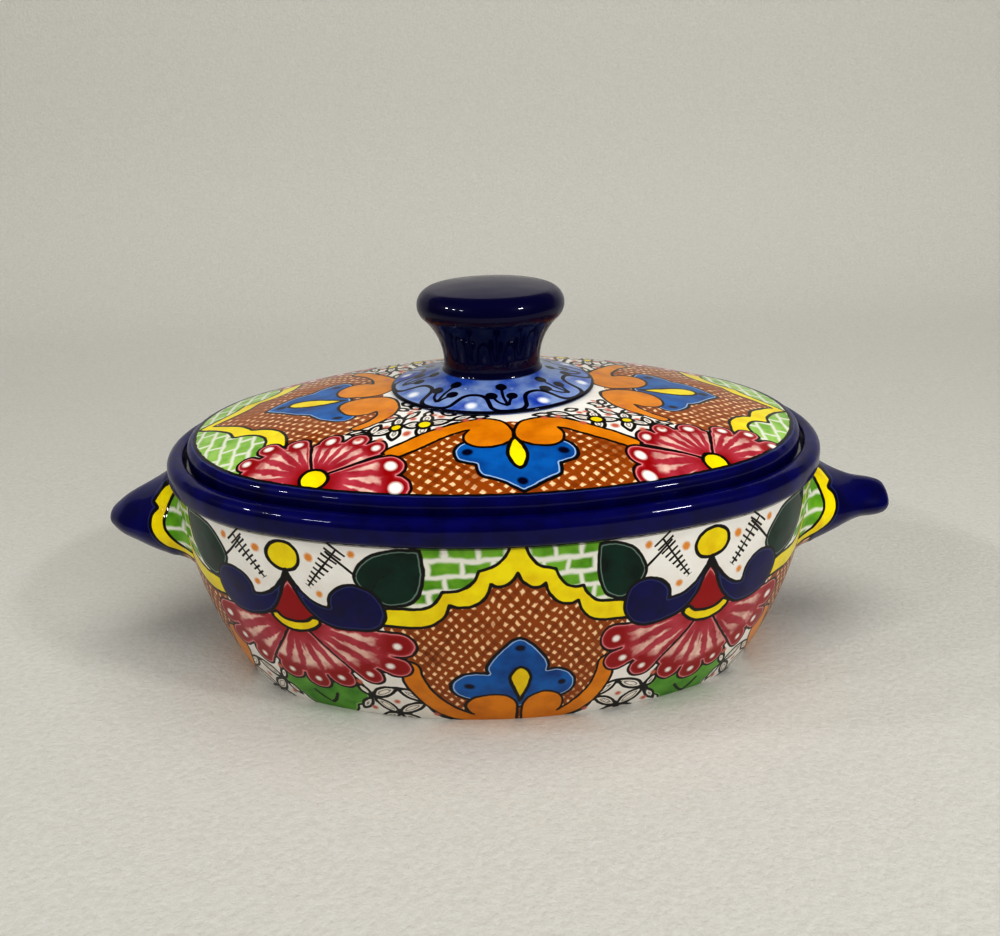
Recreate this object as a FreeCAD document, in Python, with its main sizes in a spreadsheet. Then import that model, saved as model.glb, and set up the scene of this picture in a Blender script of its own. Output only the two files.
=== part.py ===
"""Oval tortilla warmer in glazed earthenware: a bowl with two lug handles, and a lid with its knob.

The frame's origin is the middle of the foot, +Z is up and +X runs along the oval to a handle.
All sizes are millimetres. Every plan outline is a four-centre oval, drawn with four tangent arcs,
and all the ovals share the angle at which the end arcs meet the side arcs.
"""
import FreeCAD, Part
import Sketcher
import math
import os
from FreeCAD import Vector

document = FreeCAD.newDocument("TortillaWarmer")

# ---------------------------------------------------------------- driving sizes
SIZES = [
    # the plan of the rim, which every other oval follows
    ("rim_half_length", 140.0),
    ("rim_half_width", 100.0),
    ("rim_end_radius", 88.0),
    # the wall: its outside is one arc, upright where it meets the rim
    ("foot_inset", 25.5),
    ("wall_height", 88.5),
    ("wall_thickness", 8.0),
    ("floor_thickness", 6.0),
    ("floor_corner_radius", 12.0),
    ("floor_inset", 46.0),
    ("foot_width", 7.0),
    ("foot_depth", 2.0),
    # the rolled rim and the gallery inside it that the lid sits in
    ("rim_overhang", 2.6),
    ("rim_height", 10.5),
    ("rim_width", 7.0),
    ("rim_round", 4.0),
    ("rim_bevel", 1.0),
    ("gallery_depth", 5.5),
    ("gallery_width", 8.0),
    ("gallery_bevel", 1.5),
    ("gallery_slope", 12.0),
    # the lug handles, drawn out and set by hand, so that the right one sits lower
    ("left_handle_height", 64.5),
    ("right_handle_height", 61.5),
    ("handle_length", 36.5),
    ("handle_root_depth", 28.0),
    ("handle_root_half_width", 33.0),
    ("handle_root_half_height", 23.0),
    ("handle_nose_half_width", 13.8),
    ("handle_nose_half_height", 8.5),
    ("handle_tip_round", 4.5),
    # the lid
    ("lid_gap", 1.8),
    ("lid_edge_height", 11.1),
    ("lid_edge_round", 3.6),
    ("lid_under_round", 2.5),
    ("lid_crown_height", 15.4),
    ("lid_thickness", 6.5),
    ("lid_seat_width", 12.0),
    ("lid_fullness", 1.6),
    ("lid_hollow_fullness", 3.0),
    # the knob, turned as one piece with its flared foot
    ("knob_foot_radius", 43.4),
    ("knob_foot_edge", 1.2),
    ("knob_neck_radius", 20.4),
    ("knob_neck_height", 11.0),
    ("knob_flare_radius", 5.0),
    ("knob_cap_radius", 31.0),
    ("knob_cap_height", 35.6),
    ("knob_cap_round", 7.0),
    ("knob_height", 44.6),
]

sheet = document.addObject("Spreadsheet::Sheet", "Sizes")
for row, (alias, size) in enumerate(SIZES, start=1):
    sheet.set(f"A{row}", alias)
    sheet.set(f"B{row}", str(size))
    sheet.setAlias(f"B{row}", alias)
document.recompute()


def cell(text):
    """An expression in which every size of the sheet is named with its sheet."""
    for alias, _ in sorted(SIZES, key=lambda pair: -len(pair[0])):
        text = text.replace(f"@{alias}", f"Sizes.{alias}")
    return text


def value(text):
    """The number that an expression gives with the present sizes."""
    return float(sheet.evalExpression(text))


# ---------------------------------------------------------------- worked-out places
# A point of a section is given by its inset from the rim's outline and its height.
RIM_TOP = cell("(@wall_height + @rim_height)")
LEDGE = cell("(@wall_height + @rim_height - @gallery_depth)")
FLOOR = cell("(@foot_depth + @floor_thickness)")
GALLERY = cell("(@rim_width + @gallery_width)")
FOOT_RING = cell("(@foot_inset + @foot_width)")
LID_INSET = cell("(@rim_width + @lid_gap)")
SHOULDER = f"({LEDGE} + {cell('@lid_edge_height')})"
CROWN = f"({SHOULDER} + {cell('@lid_crown_height')})"
# The arc of the wall's outside: the fall of its foot over the height gives its radius.
WALL_FALL = cell("(@foot_inset - @rim_overhang)")
WALL_BOW = f"(({WALL_FALL}^2 + {cell('@wall_height')}^2) / (2 * {WALL_FALL}))"
# All four-centre ovals share this ratio, and so the angle of their end arcs.
OVAL_RATIO = cell("((@rim_half_width - @rim_end_radius) / (@rim_half_length - @rim_end_radius))")
END_ANGLE = f"(90 deg - 2 * atan({OVAL_RATIO}))"


def from_rim(inset):
    """Distance from the middle, along the oval, of a point that lies inset from the rim."""
    return f"{cell('@rim_half_length')} - {inset}"


# ---------------------------------------------------------------- sketch helpers
def origin_plane(body, role):
    for feature in body.Origin.OriginFeatures:
        if feature.Role == role:
            return feature
    raise ValueError(f"no origin plane {role}")


def new_sketch(body, name, role, along=None, up=None):
    """A sketch on an origin plane, moved along the plane's normal and up its second axis."""
    sketch = body.newObject("Sketcher::SketchObject", name)
    sketch.AttachmentSupport = [(origin_plane(body, role), "")]
    sketch.MapMode = "FlatFace"
    if along is not None:
        sketch.setExpression("AttachmentOffset.Base.z", along)
    if up is not None:
        sketch.setExpression("AttachmentOffset.Base.y", up)
    return sketch


def bind(sketch, name, expression, *constraint):
    """Adds a size constraint, names it and ties it to the sheet."""
    kind, places = constraint[0], constraint[1:]
    index = sketch.addConstraint(Sketcher.Constraint(kind, *places, value(expression)))
    sketch.renameConstraint(index, name)
    sketch.setExpression(f"Constraints.{name}", expression)


def arc_between(start, end, radius, turn):
    """An arc from start to end; turn is 1 if it bends to the left and -1 if to the right."""
    middle = (start + end) * 0.5
    chord = end - start
    rise = math.sqrt(max(radius ** 2 - (chord.Length / 2) ** 2, 0.0))
    centre = middle + Vector(-chord.y, chord.x, 0).normalize() * rise * turn
    first, last = (start, end) if turn > 0 else (end, start)
    angles = [math.atan2(point.y - centre.y, point.x - centre.x) for point in (first, last)]
    if angles[1] < angles[0]:
        angles[1] += 2 * math.pi
    circle = Part.Circle(centre, Vector(0, 0, 1), radius)
    return Part.ArcOfCircle(circle, angles[0], angles[1])


def draw_outline(sketch, corners):
    """A closed outline. Each corner is (name, across, up, bend): its two distances from the
    sketch's origin as expressions, and None for a straight side to the next corner or
    (radius expression, turn) for an arc."""
    points = [Vector(value(across), value(up), 0) for _, across, up, _ in corners]
    ends = []
    for index, (_, _, _, bend) in enumerate(corners):
        start = points[index]
        end = points[(index + 1) % len(points)]
        if bend is None:
            sketch.addGeometry(Part.LineSegment(start, end), False)
            ends.append((1, 2))
        else:
            radius, turn = bend
            sketch.addGeometry(arc_between(start, end, value(radius), turn), False)
            ends.append((1, 2) if turn > 0 else (2, 1))
    for index, (name, across, up, bend) in enumerate(corners):
        following = (index + 1) % len(corners)
        joint = Sketcher.Constraint("Coincident", index, ends[index][1], following, ends[following][0])
        sketch.addConstraint(joint)
        bind(sketch, f"{name}_across", across, "DistanceX", -1, 1, index, ends[index][0])
        bind(sketch, f"{name}_up", up, "DistanceY", -1, 1, index, ends[index][0])
        if bend is not None:
            bind(sketch, f"{name}_radius", bend[0], "Radius", index)


def draw_oval(sketch, half_length, half_width):
    """A four-centre oval about the sketch's origin: right, upper, left and lower arcs."""
    end_radius = f"(({half_width}) - ({half_length}) * {OVAL_RATIO}) / (1 - {OVAL_RATIO})"
    reach = f"(({half_length}) - {end_radius})"
    side_radius = f"({end_radius} + {reach} / cos({END_ANGLE}))"
    joint_across = f"({reach} + {end_radius} * cos({END_ANGLE}))"
    joint_up = f"({end_radius} * sin({END_ANGLE}))"
    angle = math.radians(value(END_ANGLE))
    near, far = value(reach), value(reach) * math.tan(angle)
    arcs = [
        (Vector(near, 0, 0), end_radius, -angle, angle),
        (Vector(0, -far, 0), side_radius, angle, math.pi - angle),
        (Vector(-near, 0, 0), end_radius, math.pi - angle, math.pi + angle),
        (Vector(0, far, 0), side_radius, math.pi + angle, 2 * math.pi - angle),
    ]
    for centre, radius, start, end in arcs:
        circle = Part.Circle(centre, Vector(0, 0, 1), value(radius))
        sketch.addGeometry(Part.ArcOfCircle(circle, start, end), False)
    for index in range(4):
        sketch.addConstraint(Sketcher.Constraint("Coincident", index, 2, (index + 1) % 4, 1))
    bind(sketch, "joint_across", joint_across, "DistanceX", -1, 1, 0, 2)
    bind(sketch, "joint_up", joint_up, "DistanceY", -1, 1, 0, 2)
    sketch.addConstraint(Sketcher.Constraint("Symmetric", 0, 2, 1, 2, -2))
    sketch.addConstraint(Sketcher.Constraint("Symmetric", 0, 2, 0, 1, -1))
    sketch.addConstraint(Sketcher.Constraint("Symmetric", 0, 2, 2, 2, -1, 1))
    bind(sketch, "end_radius", end_radius, "Radius", 0)
    sketch.addConstraint(Sketcher.Constraint("Equal", 0, 2))
    bind(sketch, "side_radius", side_radius, "Radius", 1)
    sketch.addConstraint(Sketcher.Constraint("Equal", 1, 3))


def rim_oval(body, name, inset, height):
    """The rim's outline, drawn inset from the rim at a height."""
    sketch = new_sketch(body, name, "XY_Plane", along=height)
    half_width = f"{cell('@rim_half_width')} - {inset}"
    draw_oval(sketch, from_rim(inset), half_width)
    return sketch


def wall_outline(across):
    """The corners up the outside, from the foot to the top of the rolled rim. across gives
    the distance from the sketch's origin of a point that lies inset from the rim."""
    overhang = cell("@rim_overhang")
    crest = cell("@rim_round")
    return [
        ("foot", across(cell("@foot_inset")), "0", (WALL_BOW, 1)),
        ("under_rim", across(overhang), cell("@wall_height"), (overhang, 1)),
        ("rim_low", across("0"), cell("@wall_height + @rim_overhang"), None),
        ("rim_high", across("0"), f"{RIM_TOP} - {crest}", (crest, 1)),
        ("crest", across(crest), RIM_TOP, None),
    ]


def new_body(name):
    body = document.addObject("PartDesign::Body", name)
    body.Label = name
    return body


def edges_where(shape, test):
    """The names of a shape's edges whose points all pass a test."""
    names = []
    for index, edge in enumerate(shape.Edges, start=1):
        first, last = edge.ParameterRange
        points = [edge.valueAt(first + (last - first) * step / 4) for step in range(5)]
        if all(test(point) for point in points):
            names.append(f"Edge{index}")
    return names


def fillet(body, base, name, test, radius):
    """Rounds the edges of a feature that pass a test."""
    document.recompute()
    feature = body.newObject("PartDesign::Fillet", name)
    feature.Base = (base, edges_where(base.Shape, test))
    feature.Radius = value(radius)
    feature.setExpression("Radius", radius)
    return feature


# ---------------------------------------------------------------- bowl
# The wall and its rolled rim are one section carried round the oval. The section has the
# gallery ledge inside the rim, the rounded corner of the floor and the narrow foot ring.
def build_bowl():
    body = new_body("bowl")
    path = rim_oval(body, "bowl_path", "0", "0")
    section = new_sketch(body, "bowl_section", "XZ_Plane")
    centre = f"({from_rim(cell('@rim_overhang'))} - {WALL_BOW})"
    inner_bow = f"({WALL_BOW} - {cell('@wall_thickness')})"
    corner = cell("@floor_corner_radius")
    wall_top = cell("@wall_height")
    neck = cell("@gallery_slope")
    bevel = cell("@gallery_bevel")
    rim_bevel = cell("@rim_bevel")
    # the floor's corner touches the floor and, from inside, the arc of the wall
    corner_rise = f"({wall_top} - {FLOOR} - {corner})"
    corner_reach = f"sqrt(({inner_bow} - {corner})^2 - {corner_rise}^2)"
    corner_share = f"({inner_bow} / ({inner_bow} - {corner}))"
    corners = wall_outline(from_rim) + [
        ("gallery_lip", from_rim(f"({cell('@rim_width')} - {rim_bevel})"), RIM_TOP, None),
        ("gallery_top", from_rim(cell("@rim_width")), f"{RIM_TOP} - {rim_bevel}", None),
        ("gallery_wall", from_rim(cell("@rim_width")), LEDGE, None),
        ("ledge", from_rim(GALLERY), LEDGE, None),
        ("ledge_edge", from_rim(f"({GALLERY} + {bevel})"), f"{LEDGE} - {bevel}", None),
        ("inner_wall", f"{centre} + sqrt({inner_bow}^2 - {neck}^2)", f"{wall_top} - {neck}",
         (inner_bow, -1)),
        ("inner_foot", f"{centre} + {corner_reach} * {corner_share}",
         f"{wall_top} - {corner_rise} * {corner_share}", (corner, -1)),
        ("floor_edge", f"{centre} + {corner_reach}", FLOOR, None),
        ("floor", from_rim(cell("@floor_inset")), FLOOR, None),
        ("floor_under", from_rim(cell("@floor_inset")), cell("@foot_depth"), None),
        ("foot_recess", from_rim(FOOT_RING), cell("@foot_depth"), None),
        ("foot_inner", from_rim(FOOT_RING), "0", None),
    ]
    draw_outline(section, corners)
    document.recompute()
    wall = body.newObject("PartDesign::AdditivePipe", "bowl_wall")
    wall.Profile = section
    wall.Spine = (path, ["Edge1", "Edge2", "Edge3", "Edge4"])
    wall.Mode = "Frenet"
    # the floor laps under the wall's rounded corner
    floor_sketch = rim_oval(body, "floor_outline", cell("(@floor_inset - @foot_width)"),
                            cell("@foot_depth"))
    floor = body.newObject("PartDesign::Pad", "bowl_floor")
    floor.Profile = floor_sketch
    floor.setExpression("Length", cell("@floor_thickness"))
    return body


# ---------------------------------------------------------------- handles
# Each handle is a solid lug, drawn out from the wall to a blunt tip and luted on. Its root is
# hollowed to the bowl's own outside, which at the oval's end is turned about the end's centre.
def build_handle(name, side):
    """A handle at the oval's right end for side 1 and at its left end for side -1."""
    body = new_body(name)
    overall = cell("(@rim_half_length + @handle_length)")
    root = cell("(@rim_half_length - @handle_root_depth)")
    nose = cell("(@rim_half_length + @handle_length - @handle_tip_round)")
    # name, place along the lug, share of the taper from root to nose, share of the nose's size
    stations = [
        ("root", root, 0.0, 1.0),
        ("wall", f"({root} + ({nose} - {root}) * 0.32)", 0.05, 1.0),
        ("waist", f"({root} + ({nose} - {root}) * 0.64)", 0.35, 1.0),
        ("neck", f"({root} + ({nose} - {root}) * 0.86)", 0.72, 1.0),
        ("nose", nose, 1.0, 1.0),
        ("round", f"({nose} + ({overall} - {nose}) * 0.78)", 1.0, 0.67),
        ("end", overall, 1.0, 0.38),
    ]
    sections = []
    for station, along, taper, share in stations:
        half_width = cell("(@handle_root_half_width + (@handle_nose_half_width"
                          f" - @handle_root_half_width) * {taper}) * {share}")
        half_height = cell("(@handle_root_half_height + (@handle_nose_half_height"
                           f" - @handle_root_half_height) * {taper}) * {share}")
        sketch = new_sketch(body, f"{name}_{station}", "YZ_Plane", f"{side} * {along}",
                            cell(f"@{name}_height"))
        draw_oval(sketch, half_width, half_height)
        sections.append(sketch)
    document.recompute()
    lug = body.newObject("PartDesign::AdditiveLoft", f"{name}_lug")
    lug.Profile = sections[0]
    lug.Sections = sections[1:]
    seat = new_sketch(body, f"{name}_seat", "XZ_Plane")
    seat.setExpression("AttachmentOffset.Base.x",
                       cell(f"{side} * (@rim_half_length - @rim_end_radius)"))
    corners = wall_outline(lambda inset: f"{cell('@rim_end_radius')} - {inset}") + [
        ("axis_top", "0", RIM_TOP, None),
        ("axis_foot", "0", "0", None),
    ]
    draw_outline(seat, corners)
    document.recompute()
    full = lug.Shape.Volume
    groove = body.newObject("PartDesign::Groove", f"{name}_root_seat")
    groove.Profile = seat
    groove.ReferenceAxis = (seat, ["V_Axis"])
    groove.Angle = 360
    document.recompute()
    assert groove.Shape.Volume < full, "the root isn't cut to the wall"
    return body


# ---------------------------------------------------------------- lid
# The lid is a domed plate with a thick rolled edge. It drops into the gallery and rests on the
# ledge. The dome runs from the oval shoulder to a round land, on which the knob is luted.
def build_lid():
    body = new_body("lid")
    edge_outline = rim_oval(body, "lid_outline", LID_INSET, LEDGE)
    edge = body.newObject("PartDesign::Pad", "lid_edge")
    edge.Profile = edge_outline
    edge.setExpression("Length", cell("@lid_edge_height"))
    document.recompute()
    shoulder, ledge = value(SHOULDER), value(LEDGE)
    upper = fillet(body, edge, "lid_roll", lambda point: point.z > shoulder - 0.01,
                   cell("@lid_edge_round"))
    lower = fillet(body, upper, "lid_heel", lambda point: point.z < ledge + 0.01,
                   cell("@lid_under_round"))
    dome = dome_loft(body, "dome", "PartDesign::AdditiveLoft", (0.0, 0.2, 0.45, 0.72, 1.0),
                     f"({LID_INSET} + {cell('@lid_edge_round')})", cell("@knob_foot_radius"),
                     SHOULDER, cell("@lid_crown_height"), cell("@lid_fullness"))
    document.recompute()
    full = dome.Shape.Volume
    hollow = dome_loft(body, "hollow", "PartDesign::SubtractiveLoft", (0.0, 0.15, 0.4, 0.7, 1.0),
                       f"({LID_INSET} + {cell('@lid_seat_width')})",
                       cell("(@knob_foot_radius - @lid_thickness)"), LEDGE,
                       cell("(@lid_edge_height + @lid_crown_height - @lid_thickness)"),
                       cell("@lid_hollow_fullness"))
    document.recompute()
    assert hollow.Shape.Volume < full, "the lid isn't hollow"
    return body


def dome_loft(body, name, kind, shares, inset, crown_radius, base, rise, fullness):
    """Ovals that close in from the rim's oval, inset, to a circle while they rise. At each share
    of the way in, the height still to climb is (1 - share) to the power of the fullness."""
    sections = []
    for index, share in enumerate(shares):
        half_length, half_width = (
            f"({side} - {inset} - ({side} - {inset} - {crown_radius}) * {share})"
            for side in (cell("@rim_half_length"), cell("@rim_half_width"))
        )
        height = f"({base} + {rise} * (1 - (1 - {share})^{fullness}))"
        sketch = new_sketch(body, f"{name}_oval_{index}", "XY_Plane", along=height)
        draw_oval(sketch, half_length, half_width)
        sections.append(sketch)
    document.recompute()
    loft = body.newObject(kind, f"lid_{name}")
    loft.Profile = sections[0]
    loft.Sections = sections[1:]
    return loft


# ---------------------------------------------------------------- knob
# The knob is thrown: a flared foot, a waist and a domed cap, turned about one axis. Its arcs
# run into each other: waist into cap from outside, and cap into the dome from inside.
def build_knob():
    body = new_body("knob")
    sketch = new_sketch(body, "knob_section", "XZ_Plane")
    foot, neck, cap = cell("@knob_foot_radius"), cell("@knob_neck_radius"), cell("@knob_cap_radius")
    neck_up = f"({CROWN} + {cell('@knob_neck_height')})"
    cap_up = f"({CROWN} + {cell('@knob_cap_height')})"
    top = f"({CROWN} + {cell('@knob_height')})"
    edge_up = f"({CROWN} + {cell('@knob_foot_edge')})"
    flare, cap_round = cell("@knob_flare_radius"), cell("@knob_cap_round")
    # the foot's straight flank leaves the flare's arc where it is square to the arc's radius
    flank_across = f"({foot} - {neck} - {flare})"
    flank_up = f"({neck_up} - {edge_up})"
    flank_length = f"sqrt({flank_across}^2 + {flank_up}^2)"
    touch = f"(atan2({flank_up}; {flank_across}) + acos({flare} / {flank_length}))"
    # the waist's arc and the cap's arc touch from outside, which gives the waist's radius
    step = f"({neck} - {cap} + {cap_round})"
    climb = f"({cap_up} - {neck_up})"
    waist = f"(({step}^2 + {climb}^2 - {cap_round}^2) / (2 * ({cap_round} - {step})))"
    waist_share = f"({waist} / ({waist} + {cap_round}))"
    # the dome's arc is centred on the axis and holds the cap's arc inside it
    cap_centre = f"({cap} - {cap_round})"
    sink = f"({cap_up} - {top})"
    dome = f"(({cap_centre}^2 + {sink}^2 - {cap_round}^2) / (-2 * ({sink} + {cap_round})))"
    dome_share = f"({dome} / ({dome} - {cap_round}))"
    corners = [
        ("seat_middle", "0", CROWN, None),
        ("seat_edge", foot, CROWN, None),
        ("foot_edge", foot, edge_up, None),
        ("flare", f"{neck} + {flare} + {flare} * cos({touch})", f"{neck_up} - {flare} * sin({touch})",
         (flare, -1)),
        ("neck", neck, neck_up, (waist, -1)),
        ("cap_under", f"{neck} + {waist} + ({cap_centre} - {neck} - {waist}) * {waist_share}",
         f"{neck_up} + {climb} * {waist_share}", (cap_round, 1)),
        ("cap_over", f"{cap_centre} * {dome_share}", f"{top} - {dome} + ({sink} + {dome}) * {dome_share}",
         (dome, 1)),
        ("top", "0", top, None),
    ]
    draw_outline(sketch, corners)
    document.recompute()
    turned = body.newObject("PartDesign::Revolution", "knob_turned")
    turned.Profile = sketch
    turned.ReferenceAxis = (sketch, ["V_Axis"])
    turned.Angle = 360
    return body


bowl = build_bowl()
right_handle = build_handle("right_handle", 1)
left_handle = build_handle("left_handle", -1)
lid = build_lid()
knob = build_knob()
document.recompute()

# ---------------------------------------------------------------- check and write
for thing in document.Objects:
    if "Invalid" in thing.State or "Error" in thing.State:
        raise RuntimeError(f"{thing.Name} failed: {thing.State}")
os.makedirs("parts", exist_ok=True)
for piece in (bowl, right_handle, left_handle, lid, knob):
    shape = piece.Shape
    if shape.isNull() or not shape.isValid() or len(shape.Solids) != 1:
        raise RuntimeError(f"{piece.Label} isn't one sound solid")
    shape.exportStep(f"parts/{piece.Label}.step")
    print(piece.Label, round(shape.Volume / 1000, 1), "cm3", shape.BoundBox)
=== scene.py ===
import math
import bpy
import numpy as np
from mathutils import Matrix


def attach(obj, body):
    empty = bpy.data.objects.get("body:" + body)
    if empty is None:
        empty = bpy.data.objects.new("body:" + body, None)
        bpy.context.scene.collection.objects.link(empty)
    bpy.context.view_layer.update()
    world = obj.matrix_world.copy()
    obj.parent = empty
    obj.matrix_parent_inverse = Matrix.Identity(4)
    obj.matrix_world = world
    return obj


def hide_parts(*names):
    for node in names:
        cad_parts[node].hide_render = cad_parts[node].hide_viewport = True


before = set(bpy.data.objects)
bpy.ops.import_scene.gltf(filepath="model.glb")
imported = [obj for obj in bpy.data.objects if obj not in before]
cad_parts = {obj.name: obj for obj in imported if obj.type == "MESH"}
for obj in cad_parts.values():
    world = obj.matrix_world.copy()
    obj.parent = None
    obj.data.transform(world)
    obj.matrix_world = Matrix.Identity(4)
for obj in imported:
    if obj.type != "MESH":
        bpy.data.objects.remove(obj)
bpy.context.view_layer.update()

# ---------------------------------------------------------------- camera
# The view of somebody standing at the table: a little above the lid's edge, square to the long
# side, and held a degree or two off level.
LENS, SENSOR = 38.16, 36.0
CAMERA_YAW, CAMERA_RISE, CAMERA_ROLL = -0.02521, 0.36542, -0.02592
CAMERA_DISTANCE, AIM_SIDE, AIM_HEIGHT = 0.470386, 0.002199, 0.081337


def stood(right, up, back, place):
    """The matrix that has three axes as its columns and a place as its last one."""
    return Matrix([*np.column_stack([right, up, back, place]), [0, 0, 0, 1]])


back = np.array([math.sin(CAMERA_YAW) * math.cos(CAMERA_RISE),
                 -math.cos(CAMERA_YAW) * math.cos(CAMERA_RISE), math.sin(CAMERA_RISE)])
right = np.array([math.cos(CAMERA_YAW), math.sin(CAMERA_YAW), 0.0])
up = np.cross(back, right)
rolled_right = math.cos(CAMERA_ROLL) * right + math.sin(CAMERA_ROLL) * up
rolled_up = math.cos(CAMERA_ROLL) * up - math.sin(CAMERA_ROLL) * right
stand = AIM_SIDE * right + np.array([0.0, 0.0, AIM_HEIGHT]) + CAMERA_DISTANCE * back
lens = bpy.data.cameras.new("camera")
lens.lens = LENS
lens.sensor_width = SENSOR
camera = bpy.data.objects.new("camera", lens)
camera.matrix_world = stood(rolled_right, rolled_up, back, stand)
bpy.context.scene.collection.objects.link(camera)
bpy.context.scene.camera = camera

# ---------------------------------------------------------------- bowl
# An oval earthenware bowl, pressed in a mould: one wall section carried round the oval, with a
# foot ring, a rolled rim and a ledge inside the rim that the lid sits on.
MM = 0.001
RIM_LENGTH, RIM_WIDTH, END_RADIUS = 140.0, 100.0, 88.0
OVAL_RATIO = (RIM_WIDTH - END_RADIUS) / (RIM_LENGTH - END_RADIUS)
SIDE_TURN = 2 * np.arctan(OVAL_RATIO)
SIDE_RADIUS = END_RADIUS + (RIM_LENGTH - END_RADIUS) / np.sin(SIDE_TURN)
SIDE_ARC = SIDE_RADIUS * SIDE_TURN
QUARTER = SIDE_ARC + END_RADIUS * (np.pi / 2 - SIDE_TURN)
WALL_TOP, OVERHANG, BOW = 88.5, 2.6, 182.46
WALL_RUN = BOW * np.arcsin(WALL_TOP / BOW)
BOWL_COLUMNS, FOOT_LAST, WALL_ROWS = 744, 7, 82


def rim_turn(along):
    """The way the rim faces, as an angle from the front, at a length along it: the length over
    the side's radius, and past the side arc the rest of the length over the end's radius."""
    length = np.abs(along)
    folded = np.minimum(length, 2 * QUARTER - length)
    turn = np.where(folded < SIDE_ARC, folded / SIDE_RADIUS,
                    SIDE_TURN + (folded - SIDE_ARC) / END_RADIUS)
    return np.sign(along) * np.where(length > QUARTER, np.pi - turn, turn)


def oval(turn, half_length, half_width):
    """x and y where a four-centre oval faces a way: the centre of the side's or the end's arc
    plus its radius times the sine and minus the cosine of the turn."""
    facing = np.abs(turn)
    folded = np.minimum(facing, np.pi - facing)
    end = (half_width - half_length * OVAL_RATIO) / (1 - OVAL_RATIO)
    shift = half_length - end
    side = end + shift / np.sin(SIDE_TURN)
    on_side = folded < SIDE_TURN
    x = np.where(on_side, side * np.sin(folded), shift + end * np.sin(folded))
    y = np.where(on_side, shift / np.tan(SIDE_TURN) - side * np.cos(folded), -end * np.cos(folded))
    return np.sign(turn) * x, np.where(facing > np.pi / 2, -y, y)


def path(text):
    """Points from their x,y texts, which are parted by spaces."""
    return np.array([point.split(",") for point in text.split()], float)


def run_along(section):
    """The length along a section, at each of its points."""
    return np.concatenate([[0], np.cumsum(np.hypot(*np.diff(section, axis=0).T))])


def bend(centre, radius, start, end, steps):
    """Points of an arc, in degrees: centre plus radius times the cosine and sine."""
    angle = np.radians(np.linspace(start, end, steps))
    return np.column_stack([centre[0] + radius * np.cos(angle), centre[1] + radius * np.sin(angle)])


def skin(name, rows, first, last):
    """A closed skin. Each row of points is joined to the next and round to its own start, and
    the first and last rows are closed on one point each."""
    count, columns, _ = rows.shape
    points = np.concatenate([rows.reshape(-1, 3), [first], [last]]) * MM
    here, beside = np.arange(columns), (np.arange(columns) + 1) % columns
    low = (np.arange(count - 1) * columns)[:, None]
    quads = np.stack([low + here, low + beside, low + columns + beside, low + columns + here], -1)
    top, pole = (count - 1) * columns, np.full(columns, count * columns)
    caps = np.concatenate([np.stack([pole, beside, here], -1),
                           np.stack([top + here, top + beside, pole + 1], -1)])
    mesh = bpy.data.meshes.new(name)
    mesh.from_pydata(points, [], quads.reshape(-1, 4).tolist() + caps.tolist())
    mesh.polygons.foreach_set("use_smooth", np.ones(len(mesh.polygons), bool))
    piece = bpy.data.objects.new(name, mesh)
    bpy.context.scene.collection.objects.link(piece)
    return piece


def unroll(piece, section, columns, bands):
    """A bake map. Each band of a section's rows is cut into one or more strips of equal width,
    laid one above another, and its height is shared out by the length along the section. The
    two closing fans take the last two strips."""
    run = run_along(section)
    row, column = (value.ravel() for value in np.mgrid[0:len(section) - 1, 0:columns])
    rows, beside = row[:, None] + [0, 0, 1, 1], column[:, None] + [0, 1, 1, 0]
    across, upward = np.zeros(rows.shape), np.zeros(rows.shape)
    base = 0.004
    for first, last, parts, tall in bands:
        band = (row >= first) & (row < last)
        part = (column[band] * parts // columns)[:, None]
        across[band] = beside[band] * parts / columns - part
        upward[band] = (base + part * (tall + 0.006)
                        + (run[rows[band]] - run[first]) / (run[last] - run[first]) * tall)
        base += parts * (tall + 0.006)
    step = np.arange(columns)[:, None]
    across = np.concatenate([across.ravel(), ((step + [0.5, 1, 0]) / columns).ravel(),
                             ((step + [0, 1, 0.5]) / columns).ravel()])
    upward = np.concatenate([upward.ravel(), np.tile([base, base + 0.02, base + 0.02], columns),
                             np.tile([base + 0.03, base + 0.03, base + 0.05], columns)])
    flat = np.column_stack([0.003 + 0.994 * across, upward])
    piece.data.uv_layers.new(name="OFBake").data.foreach_set("uv", flat.ravel())


def wall_section(run):
    """Inset from the rim and height at a length down the wall's arc from under the rim."""
    angle = run / BOW
    return OVERHANG + BOW * (1 - np.cos(angle)), WALL_TOP - BOW * np.sin(angle)


bowl_length = np.linspace(-QUARTER, 3 * QUARTER, BOWL_COLUMNS, endpoint=False) + 1e-6
bowl_along = np.where(bowl_length > 2 * QUARTER, bowl_length - 4 * QUARTER, bowl_length)
wall_run = np.linspace(WALL_RUN - 0.9, 0, WALL_ROWS)
bowl_section = np.concatenate([
    path("80,2 46,2 33.4,2 32.8,1.5 32.6,0.5 32.1,0 27.2,0 26.1,0.25"),
    np.column_stack(wall_section(wall_run)),
    bend((OVERHANG, 91.1), OVERHANG, 270, 180, 6)[1:],
    [(0, 93)],
    bend((4, 95), 4, 180, 90, 8),
    bend((6, 98), 1, 90, 0, 4),
    path("7,96 7,93.9 7.4,93.5 14.6,93.5 15.4,93.1 16.3,92 14.6,86.5 12.6,81 11,76.5"),
    np.column_stack([185.06 - 174.46 * np.cos(np.radians(np.linspace(6, 24, 8))),
                     WALL_TOP - 174.46 * np.sin(np.radians(np.linspace(6, 24, 8)))]),
    bend((37.75, 20), 12, 205, 270, 6),
    [(46, 8), (80, 8)]])
inset, height = bowl_section[:, :1], bowl_section[:, 1:]
bowl_x, bowl_y = oval(rim_turn(bowl_along)[None], RIM_LENGTH - inset, RIM_WIDTH - inset)
bowl = skin("bowl_painted", np.stack([bowl_x, bowl_y, height + 0 * bowl_x], -1),
            (0, 0, 2), (0, 0, 8))
bowl.data.set_sharp_from_angle(angle=math.radians(50))
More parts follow.
